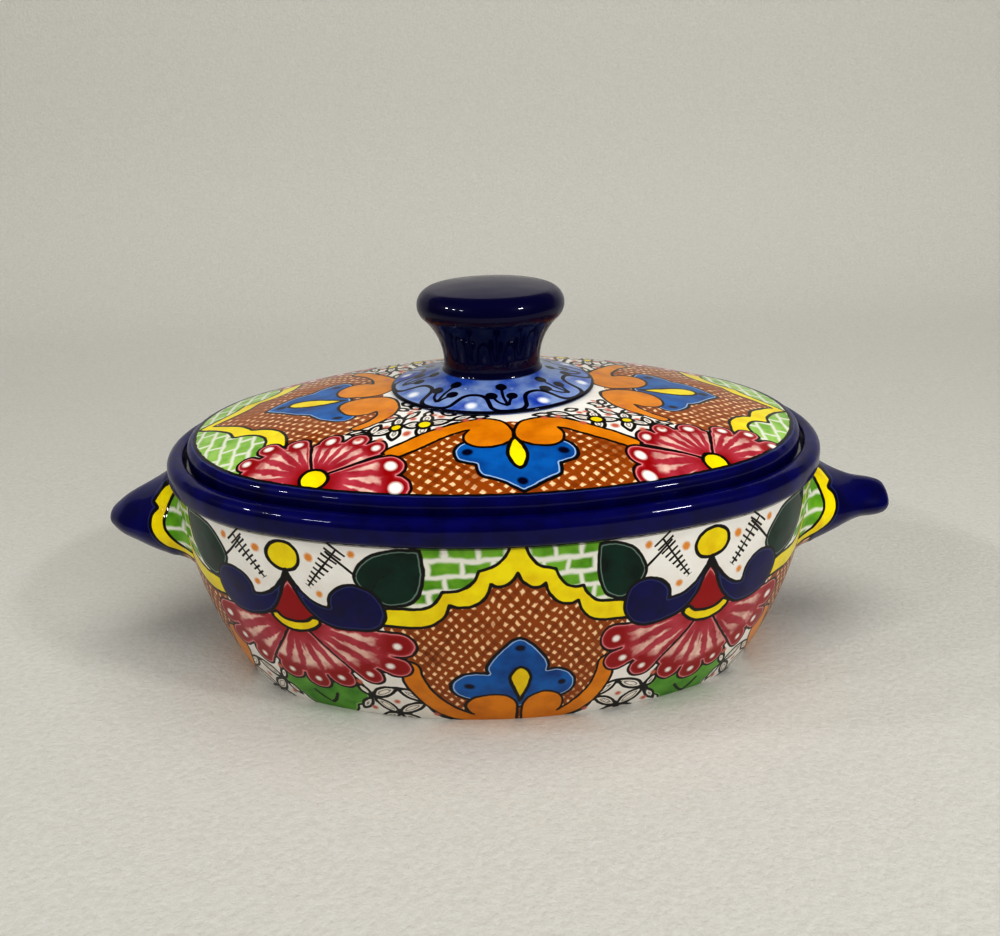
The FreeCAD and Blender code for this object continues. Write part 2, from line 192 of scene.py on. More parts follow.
wall_last = FOOT_LAST + WALL_ROWS
unroll(bowl, bowl_section, BOWL_COLUMNS, [
    (FOOT_LAST, wall_last, 2, 0.246), (0, FOOT_LAST, 2, 0.05),
    (wall_last, len(bowl_section) - 1, 2, 0.16)])
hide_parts("bowl")
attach(bowl, "bowl_body")

# The pot is painted by hand on the raw white glaze: black lines are drawn first and keep the
# colours apart, then the fields between them are filled. Each colour of the paintwork is kept
# on the skin as a distance in millimetres to the edge of that colour, less than nothing inside.
CLEAR, FAR_OFF = 9.0, 400.0
COATS = ("hatch", "leaf", "flower", "brick", "band", "dark_leaf", "side_petal", "mid_petal",
         "cobalt", "fleur", "arm", "sun", "black", "white_spot", "amber_spot", "rose_spot",
         "navy_spot", "bare")


def drawn(points, closed=True, steps=6):
    """A curve through drawn points: a cubic between each two, along the line that joins their
    neighbours and no steeper than their own distance. A point given twice is a sharp corner."""
    here = np.array(points, float)
    places = np.arange(len(here)) + np.array([-1, 1, 2])[:, None]
    places = places % len(here) if closed else np.clip(places, 0, len(here) - 1)
    before, following, beyond = here[places]
    apart = np.linalg.norm(following - here, axis=1)
    kept = apart > 1e-9
    pulls = []
    for pull in ((following - before) / 2, (beyond - here) / 2):
        size = np.linalg.norm(pull, axis=1)
        pulls.append(pull * np.minimum(1, apart / np.maximum(size, 1e-9))[:, None])
    t = (np.arange(steps) / steps)[:, None, None]
    curve = ((2 * t ** 3 - 3 * t ** 2 + 1) * here + (t ** 3 - 2 * t ** 2 + t) * pulls[0]
             + (3 * t ** 2 - 2 * t ** 3) * following + (t ** 3 - t ** 2) * pulls[1])
    line = curve[:, kept].transpose(1, 0, 2).reshape(-1, 2)
    return line if closed else np.concatenate([line, here[-1:]])


def twin(text, axis):
    """A path, then the same points mirrored about an axis, on the way back."""
    line = path(text)
    return np.concatenate([line, (line * [-1, 1] + [2 * axis, 0])[::-1]])


def spot(x, y, radius, tall=None):
    """Ten points round an ellipse."""
    angle = np.linspace(0, 2 * np.pi, 10, endpoint=False)
    return np.column_stack([x + radius * np.cos(angle), y + (tall or radius) * np.sin(angle)])


def petal(from_x, from_y, to_x, to_y, half_width):
    """A pointed oval between two points."""
    start, end = np.array([from_x, from_y]), np.array([to_x, to_y])
    along = (end - start) / np.linalg.norm(end - start)
    side = np.array([-along[1], along[0]]) * half_width
    middle, step = (start + end) / 2, (end - start) * 0.22
    return [start, start, middle - step + side * 0.8, middle + side, middle + step + side * 0.8,
            end, end, middle + step - side * 0.8, middle - side, middle - step - side * 0.8]


def each(shape, text):
    """One shape for each group of numbers."""
    return [shape(*map(float, numbers.split(","))) for numbers in text.split()]


def distance(x, y, line, closed=True):
    """From each place to the nearest point of a line, where the foot of the perpendicular is
    held between each piece's two ends; less than nothing inside a closed line, which is where a
    ray to the side crosses it an odd number of times. Far places are left clear."""
    found = np.full(x.shape, CLEAR)
    low, high = line.min(0) - 6, line.max(0) + 6
    near = np.flatnonzero((x > low[0]) & (x < high[0]) & (y > low[1]) & (y < high[1]))
    start = line if closed else line[:-1]
    end = np.roll(line, -1, 0) if closed else line[1:]
    step = end - start
    size = np.maximum((step ** 2).sum(1), 1e-12)
    for part in np.array_split(near, len(near) // 20000 + 1):
        across, along = x[part, None] - start[:, 0], y[part, None] - start[:, 1]
        share = np.clip((across * step[:, 0] + along * step[:, 1]) / size, 0, 1)
        gap = (across - share * step[:, 0]) ** 2 + (along - share * step[:, 1]) ** 2
        gap = np.sqrt(gap.min(1))
        if closed:
            level = (start[:, 1] > y[part, None]) != (end[:, 1] > y[part, None])
            rise = np.where(step[:, 1] == 0, 1, step[:, 1])
            crossed = level & (across < step[:, 0] * along / rise)
            gap = np.where(crossed.sum(1) % 2 == 1, -gap, gap)
        found[part] = np.minimum(gap, CLEAR)
    return found


def fan_petals(x, y, heart, body, tips):
    """Round-ended petals spread from one point and joined by a web: the distance to the edge of
    them all, and how near its tip a place lies on its petal."""
    nearest, tip = np.full(x.shape, CLEAR), np.zeros(x.shape)
    for tip_x, tip_y, radius in tips:
        length = math.hypot(tip_x - heart[0], tip_y - heart[1])
        ahead = ((tip_x - heart[0]) / length, (tip_y - heart[1]) / length)
        along = (x - heart[0]) * ahead[0] + (y - heart[1]) * ahead[1]
        across = np.abs((y - heart[1]) * ahead[0] - (x - heart[0]) * ahead[1])
        narrow = (0.6 - radius) / length
        wide = math.sqrt(1 - narrow ** 2)
        side = along * wide - across * narrow
        gap = np.where(side < 0, np.hypot(across, along), across * wide + along * narrow) - 0.6
        gap = np.where(side > wide * length, np.hypot(across, along - length) - radius, gap)
        share = along / (length + radius * 0.5)
        closer = gap < nearest
        nearest = np.where(closer, gap, nearest)
        tip = np.where(closer, share, tip)
    return np.minimum(nearest, distance(x, y, body)), tip


def put_coats(piece, coats, tip, turn, chart):
    """Writes on the skin the coats, the place along a petal, the angle round its fan's heart,
    and the paintwork's own coordinates: x and y of the strokes, and x folded at the mirror
    lines."""
    new_layer = piece.data.attributes.new
    for name, value in {**coats, "petal_tip": tip, "petal_turn": turn}.items():
        new_layer(name, "FLOAT", "POINT").data.foreach_set("value", value)
    new_layer("chart", "FLOAT_VECTOR", "POINT").data.foreach_set("vector", chart.ravel())


# the wall's paintwork: half a cartouche and half a fan, mirrored from cell to cell round the pot.
# x runs from the cartouche's middle to the fan's middle, y down from the rim
FAN_AT, END_CELL = 84.0, QUARTER - 84.0
WALL_HEART = FAN_AT, 37.0
WALL_DRAWING = {
    "hatch": [path("-14,6 0,6 10,12 25,21 44,30 48,34 44,52 41,62 39,74 30,85 12,93 -14,93")],
    "leaf": [twin("84,64 66,66 63,71 62.3,78 64.5,83.5 70,86.3 71.5,90 76,94 84,96", FAN_AT)],
    "flower": each(petal, """48,69.5,60.5,77.5,2.7 60.5,78,50,88.5,2.9 50,88.5,37.5,79.5,2.6
        37.5,79,48,69.5,2.4 50,88.8,61,94,2.2 50,88.8,39,96,2.3 61,78,66,70,1.8 61.5,79,68,88,1.9
        37,80,28,90,2.2"""),
    "brick": [path("2,-3 36,-3 36,3 34,12 36,20 40,27 34,26 28,21 23,19 18,18 14,11 7,9 3,3")],
    "band": [path("""-6,-6 -6,-6 2.5,-6 3,0 4.5,4 8,7.5 15,9.5 15,9.5 16,12.5 19,16.5 23,18.2 27,18
        27,18 28.5,21 32,24.5 37,26.2 42,26.5 46,27 54,30 52,34 44,35 37,34.8 31,33 26.5,29
        24.8,24.3 24.8,24.3 21,25.6 16,24.3 12,20 10.5,15 10.5,15 8.5,16.5 5.5,16.6 2,14.5 0,11 0,11
        -2,14.5 -6,16.6 -6,16.6""")],
    "dark_leaf": [path("""33,1.2 33,1.2 41,1.8 48,4.3 53,8.8 55.5,14 54,18.5 50,22.5 46,25.5 42,25.8
        37,23 34,17 32.7,10""")],
    "cobalt": [twin("""83.8,15.5 82,18.5 78,23.8 72.5,27.8 66.5,29.2 66.5,29.2 66.2,24.5 63,20.3
        58,18 53,18.5 48.8,21 46.4,25.5 46.2,31 49,36 54,38.8 61,39.8 68,38.6 74.2,34.8 78.8,29
        81.6,22.5 83.9,17.6""", FAN_AT)],
    "fleur": [twin("""0,39.5 0,39.5 3.2,41 7,44.8 11,50.5 12.8,55 12.3,58.3 12.3,58.3 17,58
        22.5,60.2 26,64.5 26.2,69.5 23,74 12,78 5,79 0,82""", 0)],
    "arm": [path("""1.2,91 1,84 1.5,79 4,74.5 9,71.8 14,71.8 19.5,74.2 22,79 21.3,83.5 19.3,86.2
        19.3,86.2 24,82.5 29,77 34,69 36.5,61 37,56 38.5,54 42,53 44,57.5 44.8,65 42,73 37.5,81
        31,87.5 22,91.8 10,94 1.2,94""")],
    "sun": each(spot, "84,8.6,7,6.2") + [twin("""84,38.7 79,37.9 75.6,35 75.6,35 72.6,37 75.2,40.6
        79.4,43 84,43.8""", FAN_AT), twin("0,55.3 2.6,57.2 4.3,61.5 3.4,66.5 1.6,72 0,77.5", 0)],
    "white_spot": each(spot, "44.2,45,1.7 48.5,56,1.6 57.5,63,1.5 71.6,68.6,1.5 84,72.6,1.6"),
    "amber_spot": each(spot, "55.5,4.5,1.5 72.5,7.3,1.8 70,23,1.5"),
    "rose_spot": each(spot, "49.5,79.5,1.4 62.5,86.5,1.5 64,69,1.4 34,87,1.3 55,93,1.2"),
    "navy_spot": each(spot, "0,45,2.3,1.6 20,66.5,2,1.6"),
}
WALL_STROKES = [("84,14.5 82.6,17.5", 0.75), ("44,12.5 47,15 49.5,20 50.5,23", 0.3),
                ("78,81 81,86 84,89", 0.75)]
wall_along, wall_down = (axis.ravel() for axis in np.meshgrid(bowl_along, wall_run))
ring = 2 * np.pi * wall_along / (4 * QUARTER)
near_fan = np.exp(-((np.abs(wall_along) - FAN_AT) / 34) ** 2)
from_front = np.abs(wall_along - 8 * np.exp(-(wall_along / 42) ** 2)
                    + 2 * np.exp(-(wall_along / 150) ** 4)
                    + 5 * np.exp(-((np.abs(wall_along) - 2 * QUARTER) / 42) ** 2)
                    - 3.4 * near_fan * (wall_down / 75) ** 2
                    + 0.45 * np.sin(13 * ring + 0.05 * wall_down + 0.4)
                    + 0.3 * np.sin(31 * ring - 0.09 * wall_down + 2.0))
below_rim = np.clip(wall_down / 6, 0, 1)
wall_y = (wall_down + 0.4 * np.sin(17 * ring + 0.07 * wall_down + 1.1) * below_rim
          - 1.8 * near_fan * np.sign(wall_along) * np.clip(wall_down / 70, 0, 1)
          + 0.25 * np.sin(37 * ring + 0.8) * below_rim)
cell_x = np.minimum(from_front, np.abs(2 * QUARTER - from_front))
on_side = cell_x < FAN_AT
cell_x = np.where(on_side, cell_x, np.abs(QUARTER - from_front))
chart_x = np.where(on_side, cell_x, cell_x + FAN_AT - END_CELL)


def brush_wall(coat, points, closed=True, half_width=0.0):
    """Lays a drawn shape in every cell. In the wider end cells the cartouche's half of the
    drawing is drawn wider, and the fan's half keeps its size."""
    line = drawn(points, closed)
    wide = line.copy()
    wide[:, 0] = np.where(line[:, 0] < 44, line[:, 0] * (END_CELL - 40) / 44,
                          line[:, 0] + END_CELL - FAN_AT)
    for cell, shape in ((on_side, line), (~on_side, wide)):
        found = distance(cell_x[cell], wall_y[cell], shape, closed) - half_width
        coat[cell] = np.minimum(coat[cell], found)


wall_coats = {name: np.full(wall_along.shape, CLEAR) for name in COATS}
for name, shapes in WALL_DRAWING.items():
    for points in shapes:
        brush_wall(wall_coats[name], points)
for points, half_width in WALL_STROKES:
    brush_wall(wall_coats["black"], path(points), False, half_width)
side_petal, side_tip = fan_petals(
    chart_x, wall_y, WALL_HEART, path("84,36 45,39.5 47.5,50.8 53.5,59.3 62,64.5 64.2,63"),
    path("43.5,44.5,6.6 45.5,56.8,5.7 57.3,63.2,5.6"))
mid_petal, mid_tip = fan_petals(
    chart_x, wall_y, WALL_HEART, path("84,36 64.4,63 66.5,65 77.2,69 90.8,69 101.5,65 103.6,63"),
    path("71.5,68,6.4 84,72.3,6.5 96.5,68,6.4"))
triangle = np.full(wall_along.shape, CLEAR)
brush_wall(triangle, twin("84,18.5 84,18.5 78.5,26 71.5,33.5 71.5,33.5 78,39 84,41", FAN_AT))
wall_coats["side_petal"], wall_coats["mid_petal"] = side_petal, np.minimum(mid_petal, triangle)
wall_tip = np.where(triangle < 0.5, 1.0, np.where(mid_petal < 0, mid_tip, side_tip))
wall_turn = np.arctan2(chart_x - WALL_HEART[0], wall_y - WALL_HEART[1])
wall_coats["cobalt"] = np.minimum(wall_coats["cobalt"], wall_down)
for at, half_width in ((91.3, 0.5), (0.6, 0.55)):
    wall_coats["black"] = np.minimum(wall_coats["black"], np.abs(wall_down - at) - half_width)

# the rim is dipped in cobalt down to the ledge, the inside is white, and the foot is wiped bare
section_run = run_along(bowl_section)
ledge_row = wall_last + 21
on_wall = slice((FOOT_LAST + 1) * BOWL_COLUMNS, (wall_last + 1) * BOWL_COLUMNS)
row_coats = {name: np.full(len(bowl_section), CLEAR) for name in COATS}
row_coats["cobalt"] = np.minimum(section_run - section_run[wall_last],
                                 section_run[ledge_row] - section_run) * -3
row_coats["bare"] = np.maximum(section_run[3] - section_run,
                               section_run - section_run[FOOT_LAST])
bowl_coats = {}
for name, rows in row_coats.items():
    rows = np.append(np.clip(rows, -CLEAR, CLEAR), CLEAR)
    bowl_coats[name] = np.repeat(rows, [BOWL_COLUMNS] * len(bowl_section) + [2])
    if name != "bare":
        bowl_coats[name][on_wall] = wall_coats[name]
bowl_tip, bowl_turn = np.ones((2, len(bowl_coats["bare"])))
bowl_tip[on_wall], bowl_turn[on_wall] = wall_tip, wall_turn
bowl_chart = np.full((len(bowl_tip), 3), FAR_OFF)
bowl_chart[:-2, 0] = np.tile(bowl_length, len(bowl_section))
bowl_chart[:-2, 1] = np.repeat(-section_run, BOWL_COLUMNS)
bowl_chart[:-2, 2] += bowl_chart[:-2, 0]
bowl_chart[on_wall, 1:] = np.column_stack([wall_y, chart_x])
put_coats(bowl, bowl_coats, bowl_tip, bowl_turn, bowl_chart)


def srgb(code):
    """An sRGB hex colour in linear light: the value over 12.92 low down, and above that the
    value plus 0.055, over 1.055, to the power 2.4."""
    value = np.array([int(code[at:at + 2], 16) for at in (1, 3, 5)]) / 255
    linear = np.where(value <= 0.04045, value / 12.92, ((value + 0.055) / 1.055) ** 2.4)
    return (*linear, 1.0)


def add(tree, kind, links=(), **settings):
    """Adds a node with its settings, and gives its inputs, by name or in their order, a value,
    a colour's code or a link."""
    node = tree.nodes.new("ShaderNode" + kind)
    for setting, value in settings.items():
        setattr(node, setting, value)
    for name, value in links.items() if isinstance(links, dict) else enumerate(links):
        if isinstance(value, bpy.types.NodeSocket):
            tree.links.new(value, node.inputs[name])
        else:
            node.inputs[name].default_value = srgb(value) if isinstance(value, str) else value
    return node.outputs


def material(name):
    """A new material, its emptied tree and the place on the piece, in metres."""
    made = bpy.data.materials.new(name)
    made.use_nodes = True
    made.node_tree.nodes.clear()
    return made, made.node_tree, add(made.node_tree, "TexCoord")["Object"]


def lay(tree, colour, *paints):
    """Lays flat paints over a colour. Each covers where its coat is below nothing, with an edge
    as soft as its last number."""
    for coat, code, soft in paints:
        edge = add(tree, "Attribute", attribute_name=coat)["Fac"]
        inside = add(tree, "MapRange", [edge, soft, -soft])[0]
        colour = add(tree, "Mix", {0: inside, 6: colour, 7: code}, data_type="RGBA")[2]
    return colour


def fire(tree, place, colour, swelling):
    """Ends a glaze: the colour under a clear glossy coat, whose swells are 30 mm wide."""
    swell = add(tree, "TexNoise", {"Vector": place, "Scale": 34.0, "Detail": 2.0})["Fac"]
    relief = add(tree, "Bump", {"Height": swell, "Distance": swelling})[0]
    surface = add(tree, "BsdfPrincipled", {
        "Base Color": colour, "Roughness": 0.4, "Specular IOR Level": 0.1, "Coat Weight": 0.6,
        "Coat Roughness": 0.03, "Normal": relief, "Coat Normal": relief})
    add(tree, "OutputMaterial", {"Surface": surface[0]})


INK = "#17120F"

# Majolica: opaque white tin glaze on earthenware, with coloured oxides brushed on it and fired
# under a clear glossy coat. The eye sees flat slightly cloudy colours, deeper where they pool.
COAT_PLAN = (  # coat, light and deep colour, half width of its black line, thin line inside it
    ("hatch", None, None, 0, None),
    ("leaf", "#6EAE3E", "#3A8416", 0.5, "#B4D88C"),
    ("flower", "#F8F3EA", "#EFE6DA", 0.7, "#241C17"),
    ("brick", None, None, 0, None),
    ("band", "#FDEB0A", "#EDCF00", 0.65, None),
    ("dark_leaf", "#07382A", "#031D15", 0.55, "#8FA79B"),
    ("fleur", "#0E6CB8", "#08488C", 0.6, "#CFE2F2"),
    ("arm", "#EA940E", "#D07C06", 0.58, None),
    ("side_petal", None, None, 0.5, "#E8A8A4"),
    ("mid_petal", None, None, 0.52, "#E8A8A4"),
    ("sun", "#FDE908", "#EDCB00", 0.72, None),
    ("cobalt", "#09075C", "#060440", 0.6, "#3E4A80"),
)
glaze, tree, place = material("hand-painted tin glaze")
chart = add(tree, "Attribute", attribute_name="chart")["Vector"]
cloud = add(tree, "TexNoise", {"Vector": place, "Scale": 110.0, "Detail": 3.0})["Fac"]
pooled = add(tree, "MapRange", [cloud, 0.38, 0.72])[0]
tremble = add(tree, "TexNoise", {"Vector": place, "Scale": 330.0, "Detail": 1.0})["Fac"]
wander = add(tree, "MapRange", [tremble, 0, 1, -0.32, 0.32])[0]

# crossed brush strokes 3.5 mm apart, that leave dots of the peach ground between them
strokes = []
for turn, seed in ((0.72, 0.0), (-0.66, 40.0)):
    turned = add(tree, "Mapping", {"Vector": chart, "Rotation": (0, 0, turn),
                                   "Location": (seed, 0, 0)})[0]
    wave = add(tree, "TexWave", {"Vector": turned, "Scale": 0.088, "Distortion": 3.6, "Detail": 2.0,
                                 "Detail Scale": 1.3})["Fac"]
    wave = add(tree, "Math", [wave, wander], operation="ADD")[0]
    strokes.append(add(tree, "MapRange", [wave, 0.17, 0.54])[0])
either = add(tree, "Math", [strokes[0], strokes[1]], operation="MAXIMUM")[0]
both = add(tree, "Math", [strokes[0], strokes[1]], operation="MULTIPLY")[0]
both = add(tree, "Math", [both, pooled], operation="MULTIPLY")[0]
broad = add(tree, "TexNoise", {"Vector": place, "Scale": 42.0, "Detail": 3.0})["Fac"]
filled = add(tree, "MapRange", [broad, 0.5, 0.62, 0, 0.9])[0]
either = add(tree, "Math", [either, filled], operation="MAXIMUM")[0]
hatch = "#FCD9AC"
for share, code in ((either, "#A0520E"), (both, "#7A3A08")):
    hatch = add(tree, "Mix", {0: share, 6: hatch, 7: code}, data_type="RGBA")[2]

# soft brick-shaped dabs every 11 by 6.4 mm, closer together on the lid and the handles' roots
# and paler on the lid
apart = add(tree, "SeparateXYZ", {"Vector": chart})
folded = add(tree, "CombineXYZ", {"X": apart["Z"], "Y": apart["Y"]})[0]
apart = add(tree, "SeparateXYZ", {"Vector": place})
paler = add(tree, "MapRange", [apart["Z"], 0.09, 0.1])[0]
far_out = add(tree, "Math", [apart["X"]], operation="ABSOLUTE")[0]
far_out = add(tree, "MapRange", [far_out, 0.124, 0.128])[0]
closer = add(tree, "Math", [paler, far_out], operation="MAXIMUM")[0]
gap_start = add(tree, "MapRange", [closer, 0, 1, 0.12, 0.35])[0]
gap_full = add(tree, "MapRange", [closer, 0, 1, 0.85, 1.05])[0]
shake = add(tree, "TexNoise", {"Vector": place, "Scale": 150.0, "Detail": 1.0})["Color"]
shaken = add(tree, "VectorMath", {0: shake, 1: (3.0, 2.4, 0)}, operation="MULTIPLY")[0]
shaken = add(tree, "VectorMath", {0: folded, 1: shaken}, operation="ADD")[0]
laid = add(tree, "TexBrick", {"Vector": shaken, "Scale": 1.0, "Brick Width": 11.0,
                              "Row Height": 6.4, "Mortar Size": 2.0, "Mortar Smooth": 1.0})["Fac"]
laid = add(tree, "MapRange", [laid, gap_start, gap_full])[0]
dab = add(tree, "Mix", {0: pooled, 6: "#84BC3C", 7: "#4E8F0C"}, data_type="RGBA")[2]
pale_dab = add(tree, "Mix", {0: pooled, 6: "#A4D068", 7: "#6CA62A"}, data_type="RGBA")[2]
dab = add(tree, "Mix", {0: paler, 6: dab, 7: pale_dab}, data_type="RGBA")[2]
bricks = add(tree, "Mix", {0: laid, 6: dab, 7: "#F1F0E4"}, data_type="RGBA")[2]

# petals: dusky rose, dark red at the tip and the heart, and cream rays 15 degrees apart that
# widen outwards
tip = add(tree, "Attribute", attribute_name="petal_tip")["Fac"]
turn = add(tree, "Attribute", attribute_name="petal_turn")["Fac"]
ragged = add(tree, "Math", [tremble, 0.16, tip], operation="MULTIPLY_ADD")[0]
outer = add(tree, "MapRange", [tip, 0.7, 0.84])[0]
heart = add(tree, "MapRange", [tip, 0.34, 0.14])[0]
red = add(tree, "Math", [outer, heart], operation="MAXIMUM")[0]
ray_width = add(tree, "MapRange", [ragged, 0.36, 0.86, 0, 0.085])[0]
swayed = add(tree, "Math", [tremble, 0.1, turn], operation="MULTIPLY_ADD")[0]
from_ray = add(tree, "Math", [swayed, 0.13], operation="PINGPONG")[0]
from_ray = add(tree, "Math", [from_ray, ray_width], operation="SUBTRACT")[0]
ray = add(tree, "MapRange", [from_ray, 0.018, -0.018])[0]
for value, none, full, least in ((cloud, 0.64, 0.4, 0.45), (ragged, 0.4, 0.52, 0.0),
                                 (ragged, 0.86, 0.76, 0.0)):
    share = add(tree, "MapRange", [value, none, full, least])[0]
    ray = add(tree, "Math", [ray, share], operation="MULTIPLY")[0]
paints = {"hatch": hatch, "brick": bricks}
for group in ("side_petal", "mid_petal"):
    edge = add(tree, "Attribute", attribute_name=group)["Fac"]
    core = add(tree, "MapRange", [edge, -1.0, -2.2])[0]
    core = add(tree, "Math", [core, red], operation="MULTIPLY")[0]
    tint = add(tree, "Mix", {0: pooled, 6: "#C24A5A", 7: "#A32234"}, data_type="RGBA")[2]
    tint = add(tree, "Mix", {0: core, 6: tint, 7: "#A0060F"}, data_type="RGBA")[2]
    paints[group] = add(tree, "Mix", {0: ray, 6: tint, 7: "#F6D6C6"}, data_type="RGBA")[2]

colour = add(tree, "Mix", {0: pooled, 6: "#F9F6F0", 7: "#F1ECE4"}, data_type="RGBA")[2]
for coat, light, deep, line, fine in COAT_PLAN:
    edge = add(tree, "Attribute", attribute_name=coat)["Fac"]
    edge = add(tree, "Math", [edge, wander], operation="ADD")[0]
    if light:
        paint = add(tree, "Mix", {0: pooled, 6: light, 7: deep}, data_type="RGBA")[2]
    else:
        paint = paints[coat]
    inside = add(tree, "MapRange", [edge, 0.12, -0.12])[0]
    colour = add(tree, "Mix", {0: inside, 6: colour, 7: paint}, data_type="RGBA")[2]
    if fine:
        inset = line + (0.9 if coat == "flower" else 0.42)
        away = add(tree, "Math", [edge, inset], operation="ADD")[0]
        away = add(tree, "Math", [away], operation="ABSOLUTE")[0]
        thin = add(tree, "MapRange", [away, 0.36, 0.12, 0, 0.65])[0]
        colour = add(tree, "Mix", {0: thin, 6: colour, 7: fine}, data_type="RGBA")[2]
    if line:
        away = add(tree, "Math", [edge], operation="ABSOLUTE")[0]
        drawn_line = add(tree, "MapRange", [away, line + 0.14, line - 0.14])[0]
        colour = add(tree, "Mix", {0: drawn_line, 6: colour, 7: INK}, data_type="RGBA")[2]

# a fishbone under the rim, each side of the fan, and one stroke that crosses it near the rim: for
# both, the place along the stroke, how far aside of it and how far past its ends
strokes = []
for spot_at, turned, middle, reach in (((61.5, 3.0, 0), 0.922, 10.5, 10.9),
                                       ((55, 13.5, 0), -0.738, 7.0, 7.6)):
    line = add(tree, "Mapping", {"Vector": folded, "Location": spot_at, "Rotation": (0, 0, turned)},
               vector_type="TEXTURE")[0]
    line = add(tree, "SeparateXYZ", {"Vector": line})
    aside = add(tree, "Math", [line["Y"]], operation="ABSOLUTE")[0]
    past = line["X"]
    for operation, amount in (("SUBTRACT", middle), ("ABSOLUTE", 0), ("SUBTRACT", reach)):
        past = add(tree, "Math", [past, amount], operation=operation)[0]
    strokes += [line["X"], aside, past]
along_bone, off_stem, past_bone, _, off_cross, past_cross = strokes

# the fishbone's ticks are 2.4 mm apart, and shorter towards the tail
reach = add(tree, "MapRange", [along_bone, 0, 21.0, 4.4, 1.4])[0]
reach = add(tree, "Math", [off_stem, reach], operation="SUBTRACT")[0]
stem = add(tree, "Math", [off_stem, 0.4], operation="SUBTRACT")[0]
cross = add(tree, "Math", [off_cross, 0.5], operation="SUBTRACT")[0]
cross = add(tree, "Math", [cross, past_cross], operation="MAXIMUM")[0]
bone = along_bone
for operation, other in (("PINGPONG", 1.2), ("SUBTRACT", 0.42), ("MAXIMUM", reach),
                         ("MINIMUM", stem), ("MAXIMUM", past_bone), ("MINIMUM", cross)):
    bone = add(tree, "Math", [bone, other], operation=operation)[0]
bone = add(tree, "Math", [wander, 0.5, bone], operation="MULTIPLY_ADD")[0]
boned = add(tree, "MapRange", [bone, 0.14, -0.14])[0]
colour = add(tree, "Mix", {0: boned, 6: colour, 7: INK}, data_type="RGBA")[2]
colour = lay(tree, colour, ("black", INK, 0.12), ("white_spot", "#FBF4EE", 0.6),
             ("amber_spot", "#E79A45", 0.5), ("rose_spot", "#CF6E56", 0.6),
             ("navy_spot", "#04042E", 0.5), ("bare", "#C79A76", 0.2))
fire(tree, place, colour, 0.0011)
bowl.data.materials.append(glaze)

# ---------------------------------------------------------------- handles
# Two solid lugs of the same clay, pressed to a blunt nose and luted on under the rim. The joint
# is smoothed down to the wall with a wet finger, which leaves a hollow round the root.
HANDLE_COLUMNS, ROOT_AT, HEEL_AT, DRAWN_FROM, DRAWN_MIDDLE = 240, 134.0, 132.0, 138.0, 64.5
# by side: name, length past the rim, height of the middle, half height at distances from the tip
HANDLES = {
    1: ("right_handle", 36.3, 61.5, path("0,0.5 0.5,4.4 2.5,7.2 7,8.8 16,10.6 26,14.8 37,20")),
    -1: ("left_handle", 31.3, 65.5, path("0,0.5 0.5,2.2 2,4.4 6,7.8 10,10.5 20,15.6 30,19.8")),
}


def handle_skin(name, side, length, middle_height, profile):
    """A lug drawn out from the wall: at each distance from its tip the section is a rounded
    diamond, half as wide again as it is high, that widens in a quarter circle at the root, and
    the root lies on the wall."""
    around = np.linspace(0, 2 * np.pi, HANDLE_COLUMNS, endpoint=False)
    inner = length + RIM_LENGTH - ROOT_AT
    out = np.concatenate([[-1.0, -0.4], np.linspace(0, 12, 20), np.linspace(13, inner - 8, 16),
                          inner - 8 * np.linspace(0.93, 0.0, 14) ** 1.7])[:, None]
    curve = drawn(profile, False)
    half_height = np.interp(inner - out, curve[:, 0], curve[:, 1])
    hollow = 8.0 - np.sqrt(64.0 - np.clip(8.0 - out, 0, 7.8) ** 2)
    half_width = half_height * 1.55 + hollow * 0.9
    half_height = half_height + hollow * 0.6
    sharp = 2.0 - 0.35 * np.clip(out / 20, 0, 1)
    across = np.sign(np.cos(around)) * np.abs(np.cos(around)) ** (2 / sharp) * half_width
    upward = np.sign(np.sin(around)) * np.abs(np.sin(around)) ** (2 / sharp) * half_height
    lower = 1 - 0.2 * np.clip((inner - out) / 14, 0, 1)
    level = middle_height + np.where(upward < 0, upward * lower, upward)
    wall_inset = OVERHANG + BOW - np.sqrt(BOW ** 2 - np.clip(WALL_TOP - level, 0, WALL_TOP) ** 2)
    on_wall = RIM_LENGTH - END_RADIUS + np.sqrt((END_RADIUS - wall_inset) ** 2 - across ** 2)
    free = np.clip(out / 20, 0, 1)
    free = free * free * (3 - 2 * free)
    x = on_wall * (1 - free) + ROOT_AT * free + out
    rows = np.stack([side * x, side * across, level], -1)
    if side < 0:
        rows = rows[:, ::-1]
    tip, heel = ((side * at, 0, middle_height) for at in (RIM_LENGTH + length, HEEL_AT))
    piece = skin(name, rows, heel, tip)
    unroll(piece, np.column_stack([out, out * 0]), HANDLE_COLUMNS, [(0, len(out) - 1, 1, 0.92)])
    # the wall's bricks, band and hatching run on over the root, and the rest is cobalt
    spots = np.concatenate([rows.reshape(-1, 3), [heel, tip]])
    along = np.abs(spots[:, 0]) - DRAWN_FROM
    level = spots[:, 2] + (DRAWN_MIDDLE - middle_height) * 0.7
    coats = {coat: np.full(len(spots), CLEAR) for coat in COATS}
    for coat, points in HANDLE_DRAWING.items():
        coats[coat] = distance(along, level, drawn(path(points)))
    put_coats(piece, coats, np.ones(len(spots)), np.ones(len(spots)),
              np.column_stack([spots[:, 1], WALL_TOP - level, spots[:, 1] + FAR_OFF]))
    piece.data.materials.append(glaze)
    return piece


